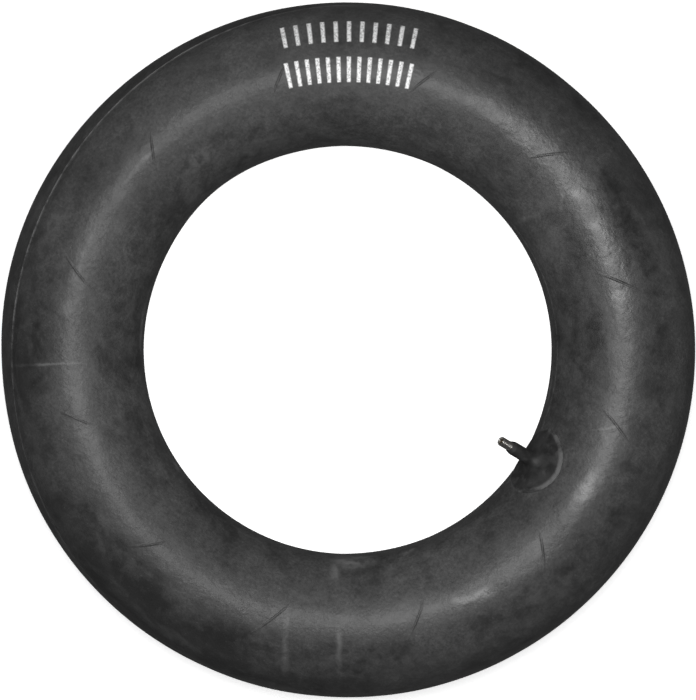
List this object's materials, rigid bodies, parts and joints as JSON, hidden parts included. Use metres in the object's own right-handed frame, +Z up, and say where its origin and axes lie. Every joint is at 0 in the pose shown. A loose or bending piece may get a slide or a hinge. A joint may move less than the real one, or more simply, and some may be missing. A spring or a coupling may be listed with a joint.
{
  "type": "inner tube",
  "caption": "Inflated butyl inner tube for a tyre on a small wheel, with a short rubber-covered valve and its spring core.",
  "frame": {"origin": "on the ground, at the middle of the ring", "axes": "+Z up along the ring's axis; +X towards the valve, which stands in the XZ plane on the inner side of the section"},
  "size_m": [0.5636, 0.5636, 0.1166],
  "materials": {
    "butyl": "satin, with a dusty bloom",
    "valve_rubber": "matt",
    "plated_brass": "nickel plate, slightly dull",
    "core_brass": "bright",
    "seal_rubber": "matt",
    "spring_steel": "bright wire"
  },
  "bodies": {
    "tube": {"tube_body": "butyl", "valve_rubber_cover": "valve_rubber", "valve_stem_insert": "plated_brass"},
    "core": {"core_barrel": "core_brass", "core_gasket": "seal_rubber", "core_spring": "spring_steel"},
    "plug": {"core_plug": "core_brass"},
    "pin": {"core_pin": "core_brass", "core_cup": "core_brass", "core_cup_washer": "seal_rubber"}
  },
  "joints": [
    {"name": "core_travel", "type": "slide", "parent": "tube", "child": "core", "axis": [-0.8434, 0, 0.5373], "range_m": [0, 0.00564]},
    {"name": "plug_turn", "type": "hinge", "parent": "core", "child": "plug", "pos_m": [0.1422, 0, 0.11006], "axis": [-0.8434, 0, 0.5373], "range_deg": [0, 2880]},
    {"name": "pin_press", "type": "slide", "parent": "core", "child": "pin", "axis": [0.8434, 0, -0.5373], "range_m": [0, 0.0015], "stiffness_N_per_m": 1000, "springref_m": -0.002, "deforming": ["core_spring"]}
  ],
  "couplings": [
    {"joint": "plug_turn", "follows": "core_travel", "rad_per_m": 8912.3}
  ]
}
